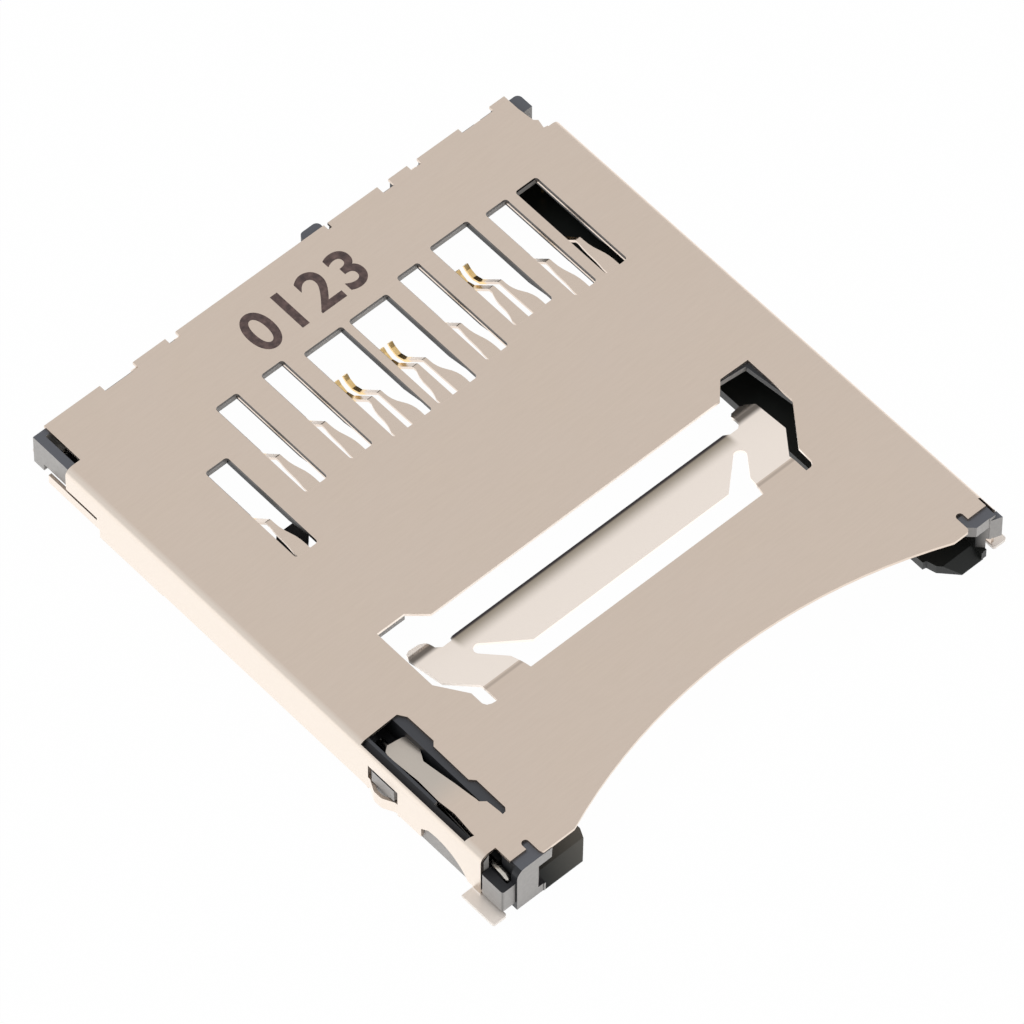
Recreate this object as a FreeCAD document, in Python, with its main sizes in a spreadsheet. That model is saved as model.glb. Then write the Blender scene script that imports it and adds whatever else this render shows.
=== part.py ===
"""Card socket with a push-push eject, lying on its board.

x runs across the socket, y from the card mouth to the solder tails, z up from the board.
The folded cover closes a moulded housing, nine roof contacts reach down to the card, and
a sprung slider beside the card slot pushes the card out again.
"""
import FreeCAD, Part
import math
import os

import Sketcher

SIZES = [
    ("cover_width", 27.25, "across the folded sides"),
    ("cover_depth", 29.33, "front edge to back edge"),
    ("cover_height", 2.8, "board to the top of the cover"),
    ("cover_sheet", 0.15, "cover metal"),
    ("cover_fit", 0.03, "housing inside the folded sides"),
    ("fold_radius", 0.4, "outside of the side folds"),
    ("skirt_lift", 0.25, "board to the lower edge of the sides"),
    ("skirt_top", 1.31, "board to the top of the left side behind its fold"),
    ("mouth_overhang", 0.05, "housing in front of the cover"),
    ("tail_reach", 1.0, "solder tails beyond the cover"),
    ("foot_reach", 0.58, "solder feet beyond the sides"),
    ("foot_length", 1.93, "front solder feet, along the side"),
    ("slot_centre", 0.65, "middle of the card slot"),
    ("slot_width", 24.15, "card slot, wall to wall"),
    ("slot_floor", 0.5, "board to the underside of the card"),
    ("slot_flange", 1.5, "height of the slot beside its raised middle"),
    ("rail_reach", 0.73, "rail over the card's thin edges"),
    ("ledge_left", 0.825, "ledge under the card, left"),
    ("ledge_right", 2.385, "ledge under the card, right"),
    ("mouth_chamfer", 0.38, "lead-in at both sides of the mouth"),
    ("finger_radius", 27.48, "finger hollow in the front edge"),
    ("finger_half", 10.485, "half the width of the finger hollow"),
    ("notch_width", 0.34, "front notches in the cover"),
    ("notch_depth", 0.95, "front notches, back from the front edge"),
    ("flap_middle", 0.54, "middle of the hold-down flap"),
    ("flap_root", 6.69, "front edge to the root of the flap"),
    ("flap_leg_outer", 8.52, "middle to the outside of a flap leg"),
    ("flap_leg_inner", 6.42, "middle to the inside of a flap leg"),
    ("flap_bend", 0.7, "root of the flap to its bend"),
    ("flap_fall", 11.3, "slope of the flap in degrees"),
    ("flap_reach", 4.76, "root of the flap to its tabs' ends"),
    ("leaf_root", 2.43, "front edge to the root of the pin leaf"),
    ("leaf_bend", 1.31, "root of the pin leaf to its bend"),
    ("leaf_length", 5.88, "root of the pin leaf to its tip"),
    ("leaf_fall", 7.0, "slope of the pin leaf in degrees"),
    ("window_width", 1.2, "window over a single contact"),
    ("window_wide", 2.12, "window over a twin contact"),
    ("window_length", 5.7, "windows, front to back"),
    ("window_corner", 0.15, "corners of the windows"),
    ("window_set", 9.74, "back edge of the cover to the front of a window"),
    ("power_set", 0.34, "supply windows, further forward"),
    ("last_set", 2.18, "ninth window, further forward"),
    ("ground_set", 0.54, "second ground window, further back"),
    ("ground_window", 5.4, "second ground window, front to back"),
    ("pin_pitch", 2.5, "between contacts"),
    ("first_pin", 7.03, "middle of the slot to the first contact"),
    ("seventh_pitch", 2.44, "between contacts six and seven"),
    ("narrow_pitch", 1.7, "between contacts seven and eight"),
    ("ninth_pitch", 2.45, "between contacts nine and one"),
    ("roof_thick", 0.29, "housing under the cover at the contacts"),
    ("roof_depth", 13.64, "housing roof, forward from the rear face"),
    ("back_wall", 2.3, "housing behind the card"),
    ("strip", 0.12, "contact metal"),
    ("strip_bend", 0.12, "inside of the bends in the contacts"),
    ("strip_gap", 0.05, "contacts below the cover"),
    ("lead_width", 0.3, "contact leads along the roof"),
    ("lead_flush", 0.0, "leads beside the narrow windows"),
    ("lead_inset", 0.1, "leads beside the other windows"),
    ("lead_gap", 0.03, "housing beside a lead"),
    ("lead_slot", 0.3, "depth of the lead slots in the rear face"),
    ("yoke_width", 0.9, "strip that joins a lead to its fingers"),
    ("finger_flat", 2.24, "finger, root to first bend"),
    ("finger_drop", 1.16, "finger, steep part"),
    ("finger_tip", 1.15, "rounded tip of a finger"),
    ("finger_root", 0.66, "finger width at the root"),
    ("finger_end", 0.25, "finger width at the tip"),
    ("finger_neck", 0.4, "root of a finger to its taper"),
    ("finger_waist", 2.05, "root of a finger to its slim end"),
    ("finger_shift", 0.08, "finger roots left of the window's middle"),
    ("tip_shift", 0.15, "finger tips left of the window's middle"),
    ("twin_root", 0.4725, "twin fingers, half their spacing at the root"),
    ("twin_tip", 0.24, "twin fingers, half their spacing at the tip"),
    ("channel_width", 1.3, "slider channel"),
    ("channel_wall", 0.45, "wall outside the slider channel"),
    ("channel_floor", 0.35, "housing under the slider"),
    ("channel_near", 1.19, "front face to the slider channel"),
    ("channel_end", 0.3, "rear face to the slider channel"),
    ("slider_travel", 6.4, "rest to fully pushed in"),
    ("slider_set", 0.3, "end of the channel to the slider at rest"),
    ("slider_length", 14.9, "slider body"),
    ("slider_height", 1.2, "slider body"),
    ("slider_gap", 0.05, "running clearance of the slider"),
    ("arm_reach", 4.29, "slider arm into the card slot"),
    ("arm_width", 0.88, "tip of the slider arm, front to back"),
    ("arm_height", 0.5, "slider arm"),
    ("wire", 0.3, "cam pin wire"),
    ("pin_length", 8.4, "cam pin between its hooks"),
    ("pin_slant", 4.16, "cam pin at rest, in degrees"),
    ("groove_gap", 0.03, "cam groove beside the pin"),
    ("groove_depth", 0.4, "cam groove"),
    ("cam_swing", 0.305, "cam track to each side"),
    ("coil_outside", 1.04, "return spring"),
    ("coil_wire", 0.18, "return spring wire"),
    ("coil_pitch", 0.95, "return spring"),
    ("switch_strip", 0.12, "metal of the switch springs"),
    ("switch_height", 0.9, "height of the switch springs"),
]

doc = FreeCAD.newDocument("CardSocket")
sheet = doc.addObject("Spreadsheet::Sheet", "Sizes")


class Size:
    """A length with its formula, so that what is built from it follows the sheet."""

    def __init__(self, value, formula):
        self.value = value
        self.formula = formula

    def __add__(self, other):
        return Size(self.value + value(other), f"({self.formula} + {formula(other)})")

    def __sub__(self, other):
        return Size(self.value - value(other), f"({self.formula} - {formula(other)})")

    def __mul__(self, other):
        return Size(self.value * value(other), f"({self.formula} * {formula(other)})")

    def __truediv__(self, other):
        return Size(self.value / value(other), f"({self.formula} / {formula(other)})")

    def __neg__(self):
        return Size(-self.value, f"(0 - {self.formula})")

    def __radd__(self, other):
        return size(other) + self

    def __rsub__(self, other):
        return size(other) - self

    def __rmul__(self, other):
        return size(other) * self


def value(length):
    return length.value if isinstance(length, Size) else length


def formula(length):
    return length.formula if isinstance(length, Size) else f"({length:.9g})"


def size(number):
    return number if isinstance(number, Size) else Size(number, formula(number))


def fill_sheet():
    """Writes the driving sizes and returns them by name."""
    sheet.set("A1", "size")
    sheet.set("B1", "value")
    sheet.set("C1", "what it is")
    named = {}
    for row, (name, number, note) in enumerate(SIZES, start=2):
        sheet.set(f"A{row}", name)
        sheet.set(f"B{row}", str(number))
        sheet.set(f"C{row}", note)
        sheet.setAlias(f"B{row}", name)
        named[name] = Size(float(number), f"Sizes.{name}")
    doc.recompute()
    return named


class Named:
    """The driving sizes as attributes."""

    def __init__(self, sizes):
        self.__dict__.update(sizes)


s = Named(fill_sheet())


class Bend:
    """Between two points of an outline: an arc with its centre left (1) or right (-1) of the way."""

    def __init__(self, radius, side):
        self.radius = radius
        self.side = side


def arc_between(start, end, bend):
    """The arc from start to end, and which of its ends is which."""
    radius = value(bend.radius)
    chord_x = end[0] - start[0]
    chord_y = end[1] - start[1]
    chord = math.hypot(chord_x, chord_y)
    rise = math.sqrt(max(radius**2 - chord**2 / 4, 0.0)) * bend.side
    centre_x = (start[0] + end[0]) / 2 - chord_y / chord * rise
    centre_y = (start[1] + end[1]) / 2 + chord_x / chord * rise
    first, last = (start, end) if bend.side > 0 else (end, start)
    from_angle = math.atan2(first[1] - centre_y, first[0] - centre_x)
    to_angle = math.atan2(last[1] - centre_y, last[0] - centre_x)
    if to_angle < from_angle:
        to_angle += 2 * math.pi
    circle = Part.Circle(FreeCAD.Vector(centre_x, centre_y, 0), FreeCAD.Vector(0, 0, 1), radius)
    ends = (1, 2) if bend.side > 0 else (2, 1)
    return Part.ArcOfCircle(circle, from_angle, to_angle), ends


def draw(sketch, loop, closed=True):
    """Adds one outline to a sketch; every point and radius follows the sheet."""
    points = []
    bends = {}
    for item in loop:
        if isinstance(item, Bend):
            bends[len(points) - 1] = item
        else:
            points.append(item)
    first = sketch.GeometryCount
    curves = []
    ends = []
    count = len(points) if closed else len(points) - 1
    for number, point in enumerate(points[:count]):
        start = (value(point[0]), value(point[1]))
        after = points[(number + 1) % len(points)]
        end = (value(after[0]), value(after[1]))
        if number in bends:
            curve, which = arc_between(start, end, bends[number])
        else:
            curve = Part.LineSegment(FreeCAD.Vector(*start, 0), FreeCAD.Vector(*end, 0))
            which = (1, 2)
        curves.append(curve)
        ends.append(which)
    sketch.addGeometry(curves, False)
    rules = []
    formulas = []
    for number, point in enumerate(points[:count]):
        here = first + number
        after = (number + 1) % count
        if closed or after:
            there = first + after
            rules.append(Sketcher.Constraint("Coincident", here, ends[number][1], there, ends[after][0]))
            formulas.append(None)
        for kind, length in (("DistanceX", point[0]), ("DistanceY", point[1])):
            rules.append(Sketcher.Constraint(kind, -1, 1, here, ends[number][0], value(length)))
            formulas.append(length)
        if number in bends:
            rules.append(Sketcher.Constraint("Radius", here, value(bends[number].radius)))
            formulas.append(bends[number].radius)
    if not closed:
        for kind, length in (("DistanceX", points[-1][0]), ("DistanceY", points[-1][1])):
            rules.append(Sketcher.Constraint(kind, -1, 1, first + count - 1, ends[-1][1], value(length)))
            formulas.append(length)
    placed = sketch.addConstraint(rules)
    for index, length in zip(placed, formulas):
        if isinstance(length, Size):
            sketch.setExpression(f"Constraints[{index}]", length.formula)


def draw_circle(sketch, centre, radius):
    """Adds one circle to a sketch."""
    circle = Part.Circle(
        FreeCAD.Vector(value(centre[0]), value(centre[1]), 0), FreeCAD.Vector(0, 0, 1), value(radius)
    )
    here = sketch.addGeometry(circle, False)
    rules = [
        Sketcher.Constraint("DistanceX", -1, 1, here, 3, value(centre[0])),
        Sketcher.Constraint("DistanceY", -1, 1, here, 3, value(centre[1])),
        Sketcher.Constraint("Radius", here, value(radius)),
    ]
    placed = sketch.addConstraint(rules)
    for index, length in zip(placed, (centre[0], centre[1], radius)):
        if isinstance(length, Size):
            sketch.setExpression(f"Constraints[{index}]", length.formula)


class Circle:
    """A round outline."""

    def __init__(self, centre, radius):
        self.centre = centre
        self.radius = radius


def new_body(name):
    body = doc.addObject("PartDesign::Body", name)
    body.Label = name
    return body


def new_sketch(body, name, role, offset, loops):
    """A sketch on one of the body's own origin planes, moved along the plane's normal."""
    plane = next(item for item in body.Origin.OriginFeatures if item.Role == role)
    sketch = body.newObject("Sketcher::SketchObject", name + "_outline")
    sketch.AttachmentSupport = [(plane, "")]
    sketch.MapMode = "FlatFace"
    sketch.AttachmentOffset = FreeCAD.Placement(
        FreeCAD.Vector(0, 0, value(offset)), FreeCAD.Rotation()
    )
    if isinstance(offset, Size):
        sketch.setExpression("AttachmentOffset.Base.z", offset.formula)
    for loop in loops:
        if isinstance(loop, Circle):
            draw_circle(sketch, loop.centre, loop.radius)
        else:
            draw(sketch, loop)
    return sketch


def feature(body, kind, name, sketch, length):
    item = body.newObject(kind, name)
    item.Profile = sketch
    item.Length = value(length)
    if isinstance(length, Size):
        item.setExpression("Length", length.formula)
    return item


def pad(body, name, role, loops, low, high):
    """Material between low and high, measured along the plane's world axis."""
    offset = -high if role == "XZ_Plane" else low
    sketch = new_sketch(body, name, role, offset, loops)
    return feature(body, "PartDesign::Pad", name, sketch, high - low)


def pocket(body, name, role, loops, low, high):
    """A cut between low and high, measured along the plane's world axis."""
    offset = -low if role == "XZ_Plane" else high
    sketch = new_sketch(body, name, role, offset, loops)
    return feature(body, "PartDesign::Pocket", name, sketch, high - low)


TOP = "XY_Plane"
FRONT = "XZ_Plane"
SIDE = "YZ_Plane"


def rect(left, near, right, far):
    return [(left, near), (right, near), (right, far), (left, far)]


def soft_rect(left, near, right, far, radius):
    """A rectangle with round corners, drawn anticlockwise."""
    bend = Bend(radius, 1)
    return [
        (left + radius, near),
        (right - radius, near),
        bend,
        (right, near + radius),
        (right, far - radius),
        bend,
        (right - radius, far),
        (left + radius, far),
        bend,
        (left, far - radius),
        (left, near + radius),
        bend,
    ]


def strip_outline(start, runs, thick, inside):
    """Side view of a bent strip: its middle line runs through (length, degrees) stretches."""
    x, y = start
    left = []
    right = []
    half = thick / 2
    for number, (length, degrees) in enumerate(runs):
        along = (math.cos(math.radians(degrees)), math.sin(math.radians(degrees)))
        if number == 0:
            left.append((x - half * along[1], y + half * along[0]))
            right.append((x + half * along[1], y - half * along[0]))
        x = x + length * along[0]
        y = y + length * along[1]
        if number + 1 == len(runs):
            left.append((x - half * along[1], y + half * along[0]))
            right.append((x + half * along[1], y - half * along[0]))
            break
        after = runs[number + 1][1]
        turn = after - degrees
        onward = (math.cos(math.radians(after)), math.sin(math.radians(after)))
        back = (inside + half) * math.tan(math.radians(abs(turn)) / 2)
        begin = (x - back * along[0], y - back * along[1])
        finish = (x + back * onward[0], y + back * onward[1])
        outside = inside + thick
        left_bend, right_bend = (inside, outside) if turn > 0 else (outside, inside)
        side = 1 if turn > 0 else -1
        left += [
            (begin[0] - half * along[1], begin[1] + half * along[0]),
            Bend(left_bend, side),
            (finish[0] - half * onward[1], finish[1] + half * onward[0]),
        ]
        right += [
            (begin[0] + half * along[1], begin[1] - half * along[0]),
            Bend(right_bend, -side),
            (finish[0] + half * onward[1], finish[1] - half * onward[0]),
        ]
    return left + right[::-1]


# Places that several pieces share.
front = -(s.mouth_overhang + s.cover_depth + s.tail_reach) / 2
edge = front + s.mouth_overhang
back = edge + s.cover_depth
tail_end = back + s.tail_reach
side = s.cover_width / 2
inner = side - s.cover_sheet
under = s.cover_height - s.cover_sheet
slot_left = s.slot_centre - s.slot_width / 2
slot_right = s.slot_centre + s.slot_width / 2
rail_low = s.slot_floor + s.slot_flange
rear = back - s.mouth_overhang
wall_near = back - s.back_wall
channel_left = -inner + s.channel_wall
channel_right = channel_left + s.channel_width
channel_near = front + s.channel_near
channel_far = rear - s.channel_end
strip_top = under - s.strip_gap
strip_low = strip_top - s.strip
strip_middle = strip_top - s.strip / 2
track_x = (channel_left + channel_right) / 2
pivot_x = track_x - s.pin_length * math.sin(math.radians(s.pin_slant.value))
pivot_y = channel_near - 0.61
track_y = pivot_y + s.pin_length * math.cos(math.radians(s.pin_slant.value))
pin_level = s.channel_floor + s.slider_gap + s.slider_height + s.wire / 2 + 0.05
coil_level = s.channel_floor + s.slider_gap + s.slider_height / 2
switch_low = s.slot_floor + 0.2
switch_top = switch_low + s.switch_height
spring_x = slot_right - 0.275
terminal_x = slot_right - 1.225
switch_far = back - 10.7
switch_near = back - 16.2
beyond = 1.0
hair = 0.1


class Pin:
    """One contact's place under its window."""

    def __init__(self, name, middle, near, length, twin, inset):
        self.name = name
        self.middle = middle
        self.near = near
        self.length = length
        self.twin = twin
        half = (s.window_wide if twin else s.window_width) / 2
        self.left = middle - half
        self.right = middle + half
        self.lead_left = self.right + inset
        self.lead_right = self.lead_left + s.lead_width
        aside = s.twin_root + s.finger_shift if twin else s.finger_shift
        self.yoke_left = middle - aside - s.finger_root / 2


def all_pins():
    """The nine contacts, from the first to the ninth."""
    near = back - s.window_set
    first = s.slot_centre - s.first_pin
    power = near - s.power_set
    sixth = first + s.pin_pitch * 5
    seventh = sixth + s.seventh_pitch
    length = s.window_length
    return [
        Pin("contact_1", first, near, length, False, s.lead_flush),
        Pin("contact_2", first + s.pin_pitch, near, length, False, s.lead_flush),
        Pin("contact_3", first + s.pin_pitch * 2, power, length, True, s.lead_inset),
        Pin("contact_4", first + s.pin_pitch * 3, power, length, True, s.lead_inset),
        Pin("contact_5", first + s.pin_pitch * 4, near, length, False, s.lead_flush),
        Pin("contact_6", sixth, near + s.ground_set, s.ground_window, True, s.lead_inset),
        Pin("contact_7", seventh, near, length, False, s.lead_flush),
        Pin("contact_8", seventh + s.narrow_pitch, near, length, False, s.lead_flush),
        Pin("contact_9", first - s.ninth_pitch, near - s.last_set, length, False, s.lead_inset),
    ]


pins = all_pins()


def flare(start, end, side):
    """Points and bends of a smooth double curve from start to end, both along y."""
    across = (end[0] - start[0]) * side
    along = end[1] - start[1]
    bend = (across * across + along * along) / (across * 4)
    middle = ((start[0] + end[0]) / 2, (start[1] + end[1]) / 2)
    return [start, Bend(bend, -side), middle, Bend(bend, side), end]


def finger_outline(pin, root, tip, flare_left, flare_right):
    """Plan of one finger: wide at its root, narrow from its neck to its tip."""
    near = pin.near - s.yoke_width - beyond
    neck = pin.near + s.finger_neck
    waist = pin.near + s.finger_waist
    far = pin.near + s.finger_flat + s.finger_drop + s.finger_tip + beyond
    wide = s.finger_root / 2
    slim = s.finger_end / 2
    right = [(root + wide, near)]
    if flare_right:
        right += flare((root + wide, neck), (tip + slim, waist), -1)
    else:
        right += [(root + wide, pin.near)]
    right += [(tip + slim, far)]
    left = [(tip - slim, far)]
    if flare_left:
        left += flare((tip - slim, waist), (root - wide, neck), -1)
    else:
        left += [(root - wide, pin.near)]
    left += [(root - wide, near)]
    return right + left


def make_contact(pin):
    """A bent strip: tail, riser, lead under the cover, yoke, and one or two spring fingers."""
    body = new_body(pin.name)
    near = pin.near - s.yoke_width
    profile = strip_outline(
        (near, strip_middle),
        [
            (s.yoke_width + s.finger_flat, 0),
            (s.finger_drop * math.sqrt(2), -45),
            (s.finger_tip * 0.42, -20),
            (s.finger_tip * 0.35, 22),
            (s.finger_tip * 0.23, 44),
        ],
        s.strip,
        s.strip_bend,
    )
    pad(body, pin.name + "_spring", SIDE, [profile], pin.left, pin.right)
    if pin.twin:
        root = pin.middle - s.finger_shift
        tip = pin.middle - s.tip_shift
        fingers = [
            finger_outline(pin, root - s.twin_root, tip - s.twin_tip, True, False),
            finger_outline(pin, root + s.twin_root, tip + s.twin_tip, False, True),
        ]
    else:
        fingers = [finger_outline(pin, pin.middle - s.finger_shift, pin.middle - s.tip_shift, True, True)]
    frame = rect(
        pin.left - beyond * 2,
        near - beyond * 2,
        pin.right + beyond * 2,
        pin.near + s.window_length + beyond * 2,
    )
    pocket(body, pin.name + "_fingers", TOP, [frame] + fingers, 0.0, s.cover_height)
    yoke = rect(pin.yoke_left, near, pin.lead_right, pin.near)
    pad(body, pin.name + "_yoke", TOP, [yoke], strip_low, strip_top)
    riser = rear - s.strip / 2
    lead = strip_outline(
        (near, strip_middle),
        [(riser - near, 0), (strip_middle - s.strip / 2, -90), (tail_end - riser, 0)],
        s.strip,
        s.strip_bend,
    )
    pad(body, pin.name + "_lead", SIDE, [lead], pin.lead_left, pin.lead_right)
    return body


def make_cover():
    """Folded sheet: top, two sides, feet, a hold-down flap and the leaf over the cam pin."""
    cover = new_body("cover_sheet")
    bend_in = s.fold_radius - s.cover_sheet
    profile = [
        (-side, s.skirt_lift),
        (-inner, s.skirt_lift),
        (-inner, under - bend_in),
        Bend(bend_in, -1),
        (-inner + bend_in, under),
        (inner - bend_in, under),
        Bend(bend_in, -1),
        (inner, under - bend_in),
        (inner, s.skirt_lift),
        (side, s.skirt_lift),
        (side, s.cover_height - s.fold_radius),
        Bend(s.fold_radius, 1),
        (side - s.fold_radius, s.cover_height),
        (-side + s.fold_radius, s.cover_height),
        Bend(s.fold_radius, 1),
        (-side, s.cover_height - s.fold_radius),
    ]
    pad(cover, "folded_sheet", FRONT, [profile], edge, back)
    fold_low = s.cover_height - s.fold_radius
    above = s.cover_height + beyond
    round_notch = s.notch_width / 2
    left_notch = slot_left - s.notch_width / 2 - 0.36
    right_notch = slot_right - s.notch_width / 2 - 0.555
    notch_far = edge + s.notch_depth - round_notch
    hollow_left = s.slot_centre - s.finger_half
    hollow_right = s.slot_centre + s.finger_half
    corner = 0.17
    front_cut = [
        (-side - beyond, edge - beyond),
        (-side - beyond, edge + 1.43),
        (-side + 0.8, edge + 1.43),
        (-side + 0.8, edge + 0.55),
        (left_notch, edge + 0.55),
        (left_notch, notch_far),
        Bend(round_notch, -1),
        (left_notch + round_notch, edge + s.notch_depth),
        Bend(round_notch, -1),
        (left_notch + s.notch_width, notch_far),
        (left_notch + s.notch_width, edge + corner),
        Bend(corner, 1),
        (left_notch + s.notch_width + corner, edge),
        (hollow_left, edge),
        Bend(s.finger_radius, -1),
        (hollow_right, edge),
        (right_notch - corner, edge),
        Bend(corner, 1),
        (right_notch, edge + corner),
        (right_notch, notch_far),
        Bend(round_notch, -1),
        (right_notch + round_notch, edge + s.notch_depth),
        Bend(round_notch, -1),
        (right_notch + s.notch_width, notch_far),
        (right_notch + s.notch_width, edge + 0.48),
        (inner - 0.12, edge + 0.48),
        (inner - 0.12, edge + 0.97),
        (side - 0.13, edge + 0.97),
        (side - 0.13, edge - beyond),
    ]
    pocket(cover, "front_edge", TOP, [front_cut], fold_low, above)
    left_end = rect(-side - beyond, edge - beyond, -side + 0.8, edge + 1.43)
    right_end = rect(side - 0.6, edge - beyond, side + beyond, edge + 0.19)
    pocket(cover, "side_ends", TOP, [left_end, right_end], 0.0, above)
    notches = [
        rect(s.slot_centre + left, back - deep, s.slot_centre + left + wide, back + beyond)
        for left, wide, deep in BACK_NOTCHES
    ]
    corner_cut = [
        (side - 0.935, back + beyond),
        (side - 0.935, back - 0.9),
        (side - 0.855, back - 1.75),
        (side - 0.695, back - 1.89),
        (side - 0.795, back - 2.34),
        (side - 0.345, back - 2.42),
        (side + beyond, back - 2.42),
        (side + beyond, back + beyond),
    ]
    pocket(cover, "back_edge", TOP, notches + [corner_cut], fold_low, above)
    left_fold = rect(-side - beyond, back - 2.3, -side + 0.825, back + beyond)
    pocket(cover, "left_fold_end", TOP, [left_fold], s.skirt_top, above)
    right_fold = rect(side - 0.6, back - 2.42, side + beyond, back + beyond)
    pocket(cover, "right_fold_end", TOP, [right_fold], s.skirt_top - 0.36, above)
    windows = [
        soft_rect(pin.left, pin.near, pin.right, pin.near + pin.length, s.window_corner) for pin in pins
    ]
    pocket(cover, "contact_windows", TOP, windows, fold_low, above)
    pocket(cover, "flap_opening", TOP, [flap_opening()], fold_low, above)
    pocket(cover, "leaf_opening", TOP, [leaf_opening()], fold_low, above)
    window_near = edge + 6.47
    window_far = edge + 8.27
    left_cuts = [
        rect(back - 4.4, 0.0, back - 1.19 + hair, 0.78),
        rect(back - 1.19, 0.0, back + beyond, s.skirt_top + hair),
        rect(edge + 5.04, 0.0, window_near - hair, 0.33),
        rect(window_far + hair, 0.0, back - 8.34, 0.33),
        [
            (edge + 2.24, -0.2),
            (edge + 5.04, -0.2),
            (edge + 5.04, 0.9),
            (edge + 4.6, 1.25),
            Bend(2.2, 1),
            (edge + 2.24, 0.3),
        ],
        rect(window_near, 0.0, window_far, 1.9),
        rect(back - 4.24, s.skirt_top, back - 2.2, s.skirt_top + 0.16),
    ]
    pocket(cover, "left_side_cuts", SIDE, left_cuts, -side - beyond, -inner + beyond)
    right_cuts = [
        rect(back - 4.4, 0.0, back + beyond, 0.62),
        soft_rect(window_near, 1.05, window_far, 1.9, s.window_corner),
        rect(switch_far - 0.45, 0.0, switch_far + 0.45, 0.8),
        rect(switch_near - 0.45, 0.0, switch_near + 0.45, 0.8),
    ]
    pocket(cover, "right_side_cuts", SIDE, right_cuts, inner - beyond, side + beyond)
    bow = strip_outline(
        (-side + s.cover_sheet / 2, window_far + hair),
        [(0.25, -90), (0.6, -118), (window_far - window_near - 1.36, -90), (0.6, -62), (0.25, -90)],
        s.cover_sheet,
        0.2,
    )
    pad(cover, "bowed_strip", TOP, [bow], 0.36, 1.05)
    for name, way in (("left", -1), ("right", 1)):
        add_front_foot(cover, name, way)
    add_rear_feet(cover)
    fused = doc.addObject("Part::MultiFuse", "shell_cover")
    fused.Label = "shell_cover"
    fused.Shapes = [cover, make_flap(), make_leaf()]
    fused.Refine = True
    return fused


def add_front_foot(cover, name, way):
    """The front foot of one side."""
    outer = (side + s.foot_reach) * way
    upright = (side - s.cover_sheet / 2) * way
    runs = [(s.foot_reach + s.cover_sheet / 2, 90 + 90 * way), (0.45 - s.cover_sheet / 2, 90)]
    step = strip_outline((outer, s.cover_sheet / 2), runs, s.cover_sheet, 0.05)
    pad(cover, name + "_foot_bend", FRONT, [step], edge + 1.43, edge + s.foot_length)
    flat_in = upright - s.cover_sheet / 2 * way
    flat = soft_rect(min_of(outer, flat_in), edge, max_of(outer, flat_in), edge + 1.7, 0.12)
    pad(cover, name + "_foot", TOP, [flat], 0.0, s.cover_sheet)


def add_rear_feet(cover):
    """The left rear foot hangs from the top, the right one wraps round the corner."""
    half = s.cover_sheet / 2
    hanging = strip_outline(
        (back - 0.5, under + half),
        [(0.5 - half, 0), (under, -90), (0.9 + half, 0)],
        s.cover_sheet,
        0.1,
    )
    pad(cover, "left_rear_foot", SIDE, [hanging], -side + 0.88, -side + 1.33)
    wrap = strip_outline(
        (side - half, back - 0.6), [(half + 0.6, 90), (0.7 - half, 180)], s.cover_sheet, 0.1
    )
    pad(cover, "right_wrap", TOP, [wrap], 0.62, s.skirt_top - 0.36)
    down = strip_outline((back + half, 0.9), [(0.9 - half, -90), (0.9 - half, 0)], s.cover_sheet, 0.1)
    pad(cover, "right_rear_foot", SIDE, [down], side - 0.68, side - 0.23)


def min_of(one, other):
    return one if value(one) < value(other) else other


def max_of(one, other):
    return one if value(one) > value(other) else other


# Notches in the cover's back edge: left side from the middle of the slot, width, depth.
BACK_NOTCHES = [
    (-10.41, 1.8, 0.35),
    (-6.84, 0.57, 0.3),
    (1.93, 0.2, 0.3),
    (4.9, 0.62, 0.4),
    (6.56, 0.56, 0.3),
    (9.45, 1.75, 0.27),
]


def flap_opening():
    """The hole in the sheet around the flap."""
    middle = s.flap_middle
    root = edge + s.flap_root
    step = root + 0.32
    return [
        (middle - 8.8, root + 0.03),
        (middle - 9.0, root + 0.12),
        (middle - 9.1, root + 0.3),
        (middle - 9.1, root + 0.96),
        (middle - 10.01, root + 2.31),
        (middle - 10.01, root + 5.7),
        (middle - 8.54, root + 5.7),
        (middle - 7.72, root + 4.96),
        (middle + 8.25, root + 4.96),
        (middle + 9.01, root + 5.76),
        (middle + 10.52, root + 5.73),
        (middle + 10.52, root + 3.0),
        (middle + 9.06, root + 1.04),
        (middle + 9.02, root + 0.25),
        (middle + 8.92, root + 0.07),
        (middle + 8.77, root),
        (middle + s.flap_leg_inner, root),
        (middle + s.flap_leg_inner, step),
        (middle - s.flap_leg_inner, step),
        (middle - s.flap_leg_inner, root),
        (middle - s.flap_leg_outer, root),
    ]


def flap_side(way):
    """One side of the flap from its leg to the end of its tab."""
    middle = s.flap_middle
    root = edge + s.flap_root
    points = [
        (s.flap_leg_outer, root - 0.3),
        (s.flap_leg_outer, root + 1.03),
        (s.flap_leg_outer + 0.98, root + 2.3),
        (s.flap_leg_outer + 1.08, root + 4.2),
        (s.flap_leg_outer + 0.88, root + 4.6),
        (s.flap_leg_outer + 0.63, root + s.flap_reach),
        (s.flap_leg_outer + 0.15, root + 4.7),
        (s.flap_leg_outer - 0.05, root + 4.5),
        (s.flap_leg_outer - 0.12, root + 3.95),
        (s.flap_leg_outer - 0.35, root + 3.74),
        (7.72, root + 3.74),
        (7.47, root + 3.92),
    ]
    placed = [(middle + x * way, y) for x, y in points]
    return placed if way > 0 else placed[::-1]


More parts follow.
